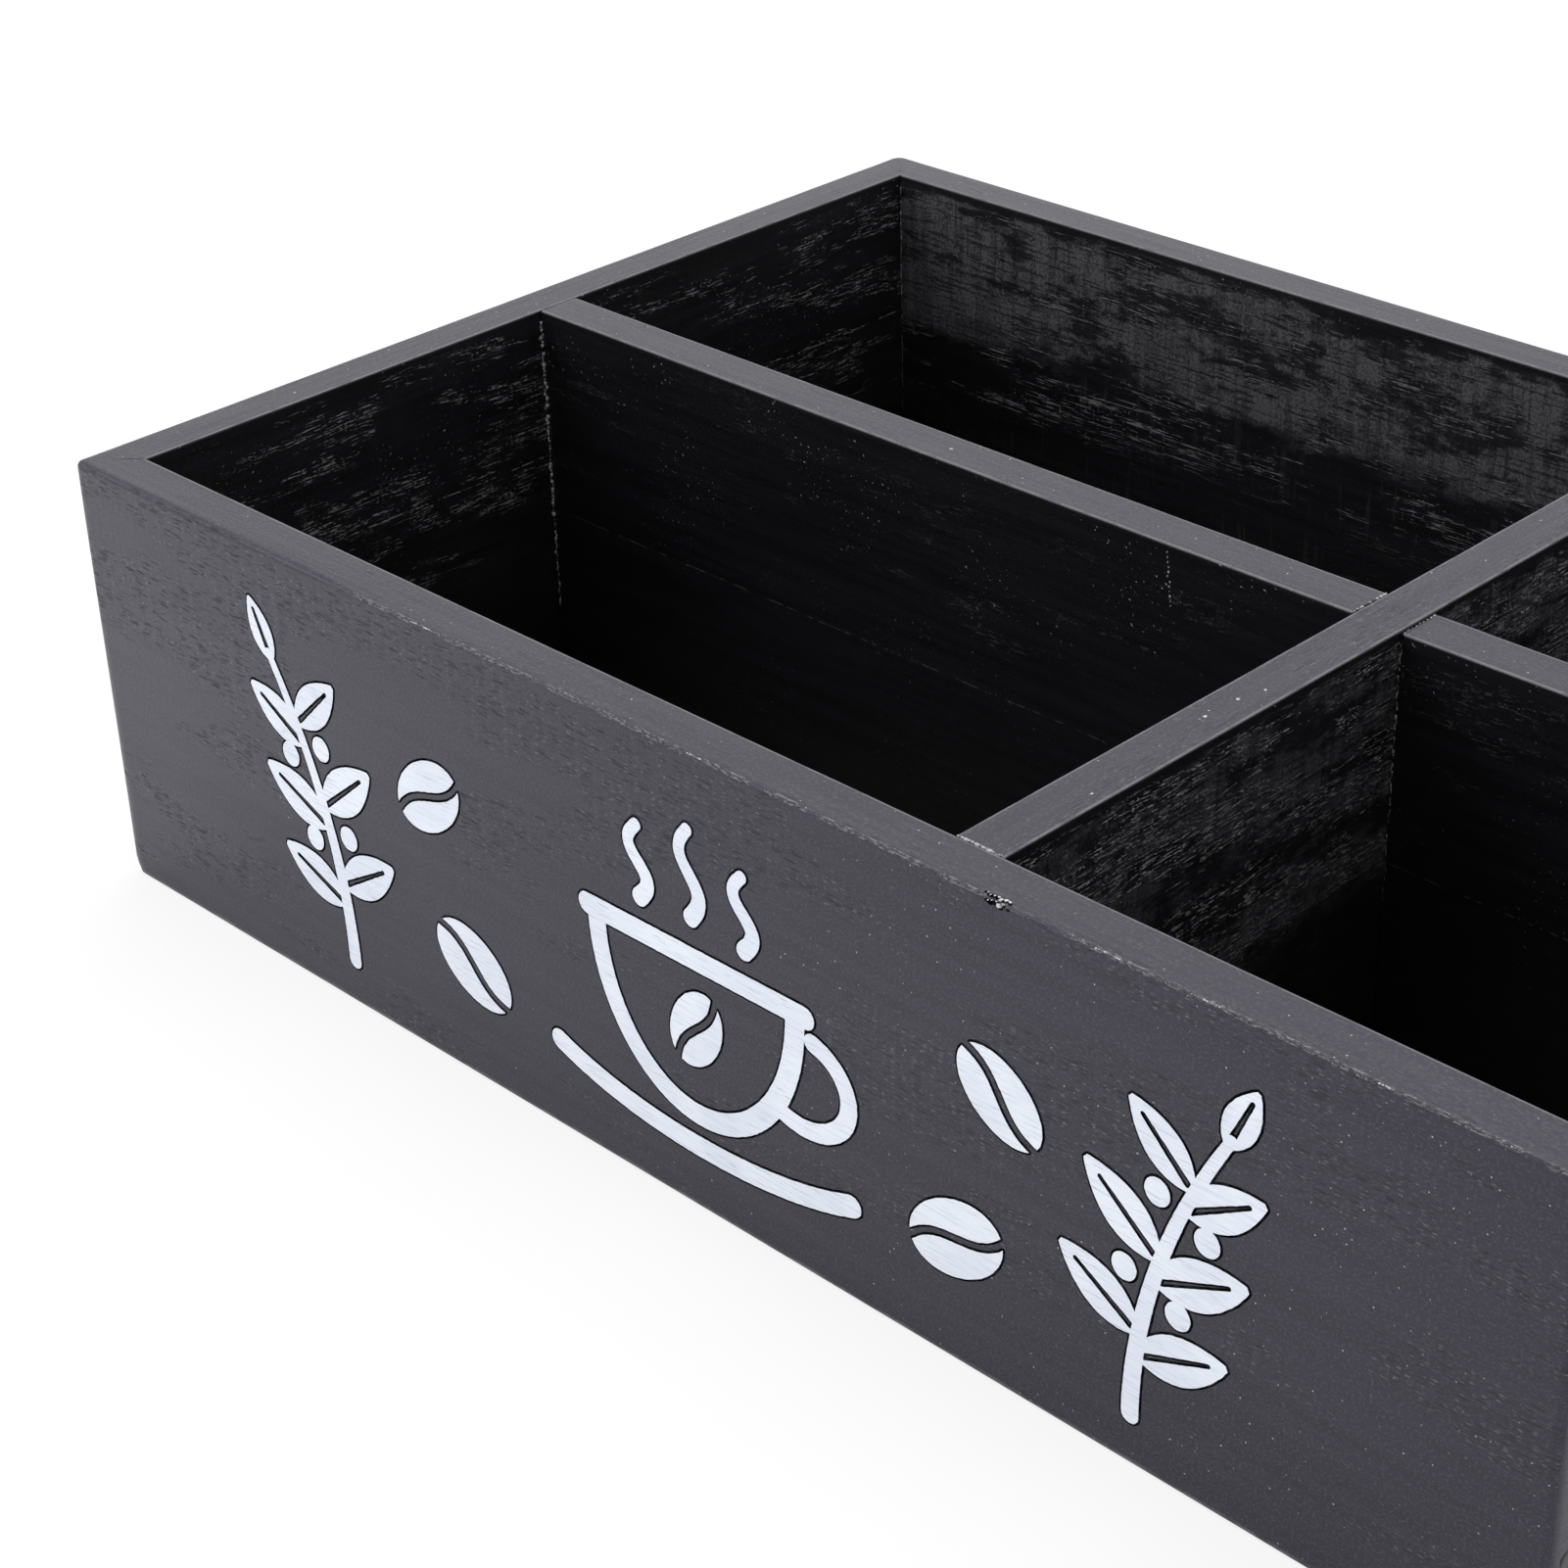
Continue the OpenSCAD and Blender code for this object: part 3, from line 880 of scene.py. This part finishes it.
def hand_drawn(loop):
    """A loop with points at even steps, shaken a little, in anticlockwise order."""
    points = []
    for (x, y), (next_x, next_y) in zip(loop, loop[1:] + loop[:1]):
        count = max(1, math.ceil(math.dist((x, y), (next_x, next_y)) / OUTLINE_STEP))
        points += [(between(x, next_x, i / count), between(y, next_y, i / count)) for i in range(count)]
    area = sum(a[0] * b[1] - b[0] * a[1] for a, b in zip(points, points[1:] + points[:1]))
    points = points if area > 0 else points[::-1]
    shaken = []
    for x, y in points:
        aside, up = (OUTLINE_SHAKE * wave_noise(x / SHAKE_SPAN, y / SHAKE_SPAN, layer) for layer in (3, 8))
        shaken.append(Vector((x + aside, y + up)))
    return shaken


def painted_triangles(shapes):
    """Joins shapes that overlap: the points, and the triangles that some shape paints."""
    points, loops, roles = [], [], []
    for number, (outline, cuts) in enumerate(shapes):
        for is_cut, loop in [(False, outline)] + [(True, cut) for cut in cuts]:
            drawn = hand_drawn(loop)
            loops.append(list(range(len(points), len(points) + len(drawn))))
            roles.append((number, is_cut))
            points += drawn
    corners, _, triangles, _, _, covers = delaunay_2d_cdt(points, [], loops, 1, 0.002)
    painted = []
    for triangle, cover in zip(triangles, covers):
        over = {roles[i] for i in cover}
        if any(not is_cut and (number, True) not in over for number, is_cut in over):
            painted.append(triangle)
    return corners, painted


def make_motif(paint, outline):
    """The decoration as one thin raised solid, its root in the wall and a dark line round it that is partly
    painted shadow.
    """
    corners, painted = painted_triangles(motif_shapes())
    directed = {pair for a, b, c in painted for pair in ((a, b), (b, c), (c, a))}
    border = [(a, b) for a, b in directed if (b, a) not in directed]
    inward = {}
    for a, b in border:
        way = (corners[b] - corners[a]).normalized()
        for end in (a, b):
            inward[end] = inward.get(end, Vector((0, 0))) + Vector((-way.y, way.x))
    mesh = bmesh.new()
    front, line, root = {}, {}, {}
    for i in sorted({i for triangle in painted for i in triangle}):
        u, v = corners[i]
        line_u, line_v = u, v
        if i in inward:
            line_u, line_v = corners[i] - LINE_WIDTH * inward[i].normalized()
            u, v = corners[i] + PAINT_SLOPE * inward[i].normalized()
            line[i] = mesh.verts.new((line_u * MM, FRONT_FACE - LINE_DEPTH, line_v * MM))
        root[i] = mesh.verts.new((line_u * MM, FRONT_FACE + PAINT_ROOT, line_v * MM))
        front[i] = mesh.verts.new((u * MM, FRONT_FACE - PAINT_DEPTH, v * MM))
    for a, b, c in painted:
        mesh.faces.new((front[a], front[b], front[c]))
        mesh.faces.new((root[c], root[b], root[a]))
    for a, b in border:
        mesh.faces.new((front[b], front[a], line[a], line[b])).material_index = 1
        mesh.faces.new((line[b], line[a], root[a], root[b])).material_index = 1
    make_piece("front_decoration", mesh, [paint, outline], smooth_shade=False)


# Small lumps of glue, filler and paint

def add_lump(mesh, centre, size, seed):
    """A rough little lump, partly sunk in what it sits on."""
    made = bmesh.ops.create_icosphere(mesh, subdivisions=2, radius=1)
    for vertex in made["verts"]:
        rough = 1 + 0.3 * wave_noise(vertex.co.x * 1.7 + seed, vertex.co.y * 1.7, vertex.co.z * 1.7)
        vertex.co = Vector(centre) + Vector([vertex.co[i] * size[i] * rough for i in range(3)])


def make_lumps(name, material, lumps):
    """One piece of many lumps, each a centre and a size."""
    mesh = bmesh.new()
    for i, (centre, size) in enumerate(lumps):
        add_lump(mesh, centre, size, i)
    make_piece(name, mesh, [material])


def bead_lumps(corner_x, corner_y, low, thickness, fullness, seed):
    """A bead of glue in an upright corner, thick and thin by turns. thickness is its greatest
    radius, and fullness from 0 to 1 is how little of it is missing."""
    high, step = HEIGHT - 1.6 * MM, 0.75 * MM
    lumps = []
    for i in range(round((high - low) / step)):
        z = low + i * step
        swell = fullness + 0.7 * wave_noise(i * 0.71, seed)
        if swell < 0.3:
            continue
        radius = min(1, swell) * between(0.3, 1, smooth(low, low + 30 * MM, z)) * thickness
        aside = thickness * (0.5 + wave_noise(i * 1.37, seed + 3))
        size = (radius, radius, step * (0.4 + 0.4 * swell))
        lumps.append(((corner_x + aside, corner_y - radius * 0.3, z), size))
    return lumps


# A broken drip of paint down the left divider's near face: its place from the box's middle
# and its length
DRIP_X = 8.2 * MM
DRIP_LENGTH = 10 * MM


def drip_lumps():
    """Beads of the drip, smaller towards its foot, which leans a little."""
    lumps = []
    for i in range(12):
        share = (i + 0.5) / 12
        x = DRIP_X + 1.2 * MM * share + 0.3 * MM * wave_noise(i * 0.9, 6)
        z = HEIGHT - 1.2 * MM - DRIP_LENGTH * share
        radius = (0.12 + 0.2 * abs(wave_noise(i * 1.7, 12))) * MM
        lumps.append(((x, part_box("left_divider")[0].y + 0.03 * MM, z), (radius, 0.1 * MM, radius * 1.5)))
    return lumps


def seam_lumps():
    """Crumbs of filler along the seams of the dividers' top edges."""
    long_low, long_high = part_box("long_divider")
    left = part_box("left_divider")
    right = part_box("right_divider")
    sunk = RIM_TOP - 0.12 * MM
    lumps = []
    for i in range(14):
        x = long_low.x + (0.5 + 0.63 * i + 0.25 * wave_noise(i * 0.9, 2)) * MM
        size = (0.2 + 0.4 * abs(wave_noise(i * 1.7, 9))) * MM
        lumps.append(((x, long_low.y + 0.1 * MM, sunk), (size * 1.5, size, 0.19 * MM)))
    for i in range(9):
        y = left[0].y + (0.8 + 0.95 * i) * MM
        size = (0.2 + 0.4 * abs(wave_noise(i * 1.3, 4))) * MM
        lumps.append(((long_low.x - 0.1 * MM, y, sunk), (size, size * 1.6, 0.19 * MM)))
        lumps.append(((long_high.x + 0.15 * MM, y, right[1].z - 0.3 * MM), (size * 0.8, size * 1.3, size)))
    return lumps


# Places along the front's top edge, from its left end, of groups of paint burrs
BURR_GROUPS = ((93, 3.5), (152, 1.5), (228, 2.2), (243.8, 2.4), (271, 1.2), (289.4, 1.0))
# Place of the chip that filler half fills, and its reach
CHIP = 209 * MM
CHIP_REACH = 2.4 * MM


def burr_lumps():
    """Burrs of dry paint on the front's crisp top edge."""
    lumps = []
    for number, (centre, reach) in enumerate(BURR_GROUPS):
        count = round(reach * 4)
        for i in range(count):
            share = 2 * (i + 0.5) / count - 1
            x = -WIDTH / 2 + (centre + share * reach + 0.2 * wave_noise(i, number)) * MM
            size = (0.12 + 0.22 * abs(wave_noise(i * 1.9, number + 5))) * MM
            y = FRONT_FACE + (0.12 + 0.25 * abs(wave_noise(i * 2.3, number + 9))) * MM
            lumps.append(((x, y, RIM_TOP - 0.18 * MM), (size * 1.7, 0.16 * MM, size * 0.7)))
    return lumps


def chip_lumps(count, spread, size, drop, seed):
    """Crumbs in the chip of the front's top edge, spread to both sides of its middle, flat on the face where
    they lie drop below the rim. Made in the dark outline material, they are painted shadow in the chip."""
    lumps = []
    for i in range(count):
        share = 2 * (i + 0.5) / count - 1
        x = -WIDTH / 2 + CHIP + share * spread
        lower = drop * (0.4 + 0.9 * abs(wave_noise(i * 1.31, seed)))
        y = FRONT_FACE + max(0, 0.5 * MM - lower)
        radius = size * (0.6 + 0.9 * abs(wave_noise(i * 1.13, seed + 3)))
        under = RIM_TOP - 0.24 * MM - lower
        lumps.append(((x, y + 0.04 * MM, under), (radius * 1.4, 0.13 * MM, radius)))
        behind = max(0.5 * MM, 0.9 * MM - lower)
        lumps.append(((x, y + behind, RIM_TOP - 0.04 * MM), (radius * 1.2, radius, 0.08 * MM)))
    return lumps


# Nibs of dried paint on the rims: places in millimetres from the box's middle, and radius
NIBS = (
    (48.0, -44.7, 0.36), (48.3, -37.5, 0.34), (49.5, -32.7, 0.30), (50.4, -72.3, 0.25),
    (-41.8, -0.1, 0.42), (-144.7, -58.7, 0.30),
)


def nib_lumps():
    top = RIM_TOP - 0.08 * MM
    return [
        ((x * MM, y * MM, top), (radius * MM, radius * MM, radius * MM * 0.38))
        for x, y, radius in NIBS
    ]


def brad_boxes(node):
    """The box of each brad in a node, from the islands of its mesh."""
    mesh = bmesh.new()
    mesh.from_mesh(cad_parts[node].data)
    bmesh.ops.remove_doubles(mesh, verts=mesh.verts, dist=0.001 * MM)
    left = set(mesh.verts)
    boxes = []
    while left:
        island, edge_of_island = set(), {left.pop()}
        while edge_of_island:
            vertex = edge_of_island.pop()
            island.add(vertex)
            left.discard(vertex)
            edge_of_island |= {edge.other_vert(vertex) for edge in vertex.link_edges} - island
        places = [v.co.copy() for v in island]
        boxes.append((Vector(map(min, *places)), Vector(map(max, *places))))
    mesh.free()
    return sorted(boxes, key=lambda box: tuple(round(c, 5) for c in box[0]))


def filler_lumps():
    """Flat filler spots over the brads in the side walls and the back wall."""
    spot, proud = 1.5 * MM, 0.09 * MM
    lumps = []
    for node in ("corner_brads", "cross_divider_brads", "long_divider_brads"):
        for low, high in brad_boxes(node):
            middle = (low + high) / 2
            in_side_wall = WIDTH / 2 - abs(middle.x) < 30 * MM
            if in_side_wall and node != "long_divider_brads":
                place = (math.copysign(WIDTH / 2 - SKIN, middle.x), middle.y, middle.z)
                lumps.append((place, (proud, spot, spot)))
            elif middle.y > 0 and node == "long_divider_brads":
                lumps.append(((middle.x, DEPTH / 2 - SKIN, middle.z), (spot, proud, spot)))
    return lumps


# The set: floor, light and camera

# What the world gives to the object's matt share, against 1 for what it mirrors
WORLD_LIGHT = 0.75
# The floor's own colour, as light falls on it and as the camera sees it beside its glow
FLOOR_COLOUR = 0.8
FLOOR_SHADOW_SHARE = 0.22
FLOOR_RADIUS = 4

# The camera fitted to the photograph: lens in millimetres, place, what it looks at, and roll
LENS = 76.30
CAMERA_PLACE = (0.30386, -0.37707, 0.30957)
CAMERA_TARGET = (-0.03396, -0.04917, 0.04)
CAMERA_ROLL = -1.80


def make_floor():
    """A pale floor that looks white to the camera and still takes the box's shadow."""
    s = Shader("floor_white")
    rays = s.node("LightPath", {})
    seen = rays.outputs["Is Camera Ray"]
    glossy = rays.outputs["Is Glossy Ray"]
    base = s.mix(seen, (FLOOR_COLOUR,) * 3, (FLOOR_SHADOW_SHARE,) * 3)
    glow = s.math("ADD", s.times(seen, 1 - FLOOR_SHADOW_SHARE), s.times(glossy, 1 - FLOOR_COLOUR))
    s.put(s.surface.inputs["Base Color"], base)
    s.surface.inputs["Roughness"].default_value = 0.9
    s.surface.inputs["Specular IOR Level"].default_value = 0.0
    s.put(s.surface.inputs["Emission Color"], (1, 1, 1))
    s.put(s.surface.inputs["Emission Strength"], glow)
    mesh = bmesh.new()
    bmesh.ops.create_circle(mesh, cap_ends=True, segments=64, radius=FLOOR_RADIUS)
    floor = mesh_object("floor", mesh, [s.material])


def make_world():
    """Even white light, plain white to the camera and in reflections."""
    world = bpy.data.worlds.new("studio")
    world.use_nodes = True
    nodes = Nodes(world.node_tree)
    rays = nodes.node("LightPath", {}).outputs
    seen = nodes.math("MAXIMUM", rays["Is Camera Ray"], rays["Is Glossy Ray"])
    background = nodes.tree.nodes["Background"].inputs
    nodes.put(background["Strength"], nodes.band(seen, 0, 1, WORLD_LIGHT, 1))
    nodes.put(background["Color"], (1, 1, 1))
    bpy.context.scene.world = world


def point_at_target(thing, target, roll=0.0):
    """Turns a lamp or a camera at thing's place to look at the target."""
    facing = (Vector(target) - thing.location).to_track_quat("-Z", "Y")
    thing.rotation_mode = "QUATERNION"
    thing.rotation_quaternion = facing @ Quaternion((0, 0, 1), math.radians(roll))


def add_softbox(name, place, size, power):
    """A large soft lamp that faces the middle of the object."""
    lamp = bpy.data.lights.new(name, "AREA")
    lamp.shape = "RECTANGLE"
    lamp.size, lamp.size_y = size
    lamp.energy = power
    box = bpy.data.objects.new(name, lamp)
    box.location = place
    bpy.context.scene.collection.objects.link(box)
    point_at_target(box, (0, 0, HEIGHT / 2))


def make_lights():
    add_softbox("overhead_box", place=(-0.1, 0.4, 1.45), size=(1.5, 1.2), power=11)
    add_softbox("front_box", place=(-0.7, -1.0, 0.85), size=(1.0, 0.8), power=7)


def make_camera():
    """The photograph's view: from the front right and above, slightly rolled."""
    lens = bpy.data.cameras.new("photo_camera")
    lens.lens = LENS
    lens.sensor_width = 36
    lens.clip_start = 0.01
    camera = bpy.data.objects.new("photo_camera", lens)
    camera.location = CAMERA_PLACE
    bpy.context.scene.collection.objects.link(camera)
    point_at_target(camera, CAMERA_TARGET, CAMERA_ROLL)
    bpy.context.scene.camera = camera


# The object

front_outer = stain_outer("stain_front", speckled_from=150 * MM)
side_outer = stain_outer("stain_sides", speckled_from=60 * MM)
rim = stain_rim("stain_rim", open_grain=0.35)
lined_rim = stain_rim("stain_lined_rim", open_grain=1.0)
foot = foot_wood()
plain_inner = stain_inner(
    "stain_inner", film=0.05, film_floor=20 * MM, dashes=0.45, dash_length=5 * MM, scarcity=0.54,
    dash_floor=38 * MM, sway=20 * MM, joint=51.5 * MM, joint_share=0.4, specks=0.8)
back_inner = stain_inner(
    "stain_back", film=1.0, film_floor=54 * MM, dashes=0.36, dash_length=12 * MM, scarcity=0.5,
    dash_floor=42 * MM, sway=26 * MM, joint=40 * MM, joint_share=0, specks=0.4)
long_inner = stain_inner(
    "stain_long", film=0.5, film_floor=42 * MM, dashes=0.7, dash_length=3.4 * MM, scarcity=0.47,
    dash_floor=44 * MM, sway=40 * MM, joint=42 * MM, joint_share=0, specks=0.6)
stave_inner = stain_inner(
    "stain_stave", film=0.0, film_floor=60 * MM, dashes=0.08, dash_length=3 * MM, scarcity=0.58,
    dash_floor=50 * MM, sway=10 * MM, joint=40.5 * MM, joint_share=0.1, specks=1.0)

# Dents of the front's top edge: place from its left end, reach and depth
FRONT_DENTS = ((25.2 * MM, 0.9 * MM, 0.25 * MM), (CHIP, CHIP_REACH, 0.45 * MM))
SOFT_UNTIL, CRISP_FROM = 62 * MM, 84 * MM
make_wall(
    "front_board", "front_panel", 0, ("front_left", "front_right"), 1,
    [front_outer, rim, plain_inner, foot], FRONT_DENTS, (SOFT_UNTIL, CRISP_FROM))
for side, turn, ends, seed, inner in (
    ("back", 180, ("back_right", "back_left"), 2, back_inner),
    ("left", -90, ("back_left", "front_left"), 3, plain_inner),
    ("right", 90, ("front_right", "back_right"), 4, plain_inner),
):
    make_wall(side + "_board", side + "_panel", turn, ends, seed, [side_outer, rim, inner, foot])
make_divider("long_board", "long_divider", True, 5, [side_outer, lined_rim, long_inner, foot])
make_divider("left_cross_board", "left_divider", False, 6, [side_outer, rim, stave_inner, foot])
make_divider("right_cross_board", "right_divider", False, 7, [side_outer, rim, stave_inner, foot])

outline = paint_outline()
make_motif(white_paint(), outline)
stained_glue = dried_glue("stained_glue", (0.02, 0.02, 0.022), (0.34, 0.34, 0.36))
thin_glue = dried_glue("thin_glue", (0.008, 0.008, 0.009), (0.2, 0.2, 0.215))
crumbled = dried_glue("crumbled_filler", (0.012, 0.012, 0.013), (0.4, 0.4, 0.42))
rubbed_paint = dried_glue("rubbed_paint", (0.1, 0.1, 0.105), (0.45, 0.45, 0.47))
pale_nibs = dried_glue("pale_nibs", (0.3, 0.3, 0.31), (0.7, 0.7, 0.72))
filled = dried_glue("stained_filler", OUTER_DARK, OUTER_PALE)
left_corner = (-WIDTH / 2 + BOARD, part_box("left_divider")[0].y)
right_corner = (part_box("long_divider")[1].x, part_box("right_divider")[0].y)
back_corner = (-WIDTH / 2 + BOARD, DEPTH / 2 - BOARD)
for name, glue, corner, low, thickness, fullness, seed in (
    ("left_glue_bead", stained_glue, left_corner, 20 * MM, 0.6 * MM, 0.5, 5),
    ("right_glue_bead", thin_glue, right_corner, 34 * MM, 0.34 * MM, 0.42, 14),
    ("back_glue_bead", thin_glue, back_corner, 30 * MM, 0.2 * MM, 0.45, 21),
):
    make_lumps(name, glue, bead_lumps(*corner, low, thickness, fullness, seed))
make_lumps("paint_drip", rubbed_paint, drip_lumps())
make_lumps("seam_crumbs", crumbled, seam_lumps())
make_lumps("edge_burrs", rubbed_paint, burr_lumps())
make_lumps("chip_filler", pale_nibs, chip_lumps(7, 2.2 * MM, 0.3 * MM, 0.7 * MM, 3))
# Painted shadow: dark crumbs in the chip's hollow
make_lumps("chip_shadow", outline, chip_lumps(8, 2.5 * MM, 0.36 * MM, 0.9 * MM, 11))
make_lumps("rim_nibs", pale_nibs, nib_lumps())
make_lumps("filler_spots", filled, filler_lumps())

steel = drawn_steel()
for node, material in (
    ("base_panel", base_wood()),
    ("corner_brads", steel),
    ("long_divider_brads", steel),
    ("cross_divider_brads", steel),
    ("base_brads", steel),
):
    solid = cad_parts[node]
    solid.data.materials.clear()
    solid.data.materials.append(material)

make_floor()
make_world()
make_lights()
make_camera()
bpy.context.scene.view_settings.view_transform = "Standard"
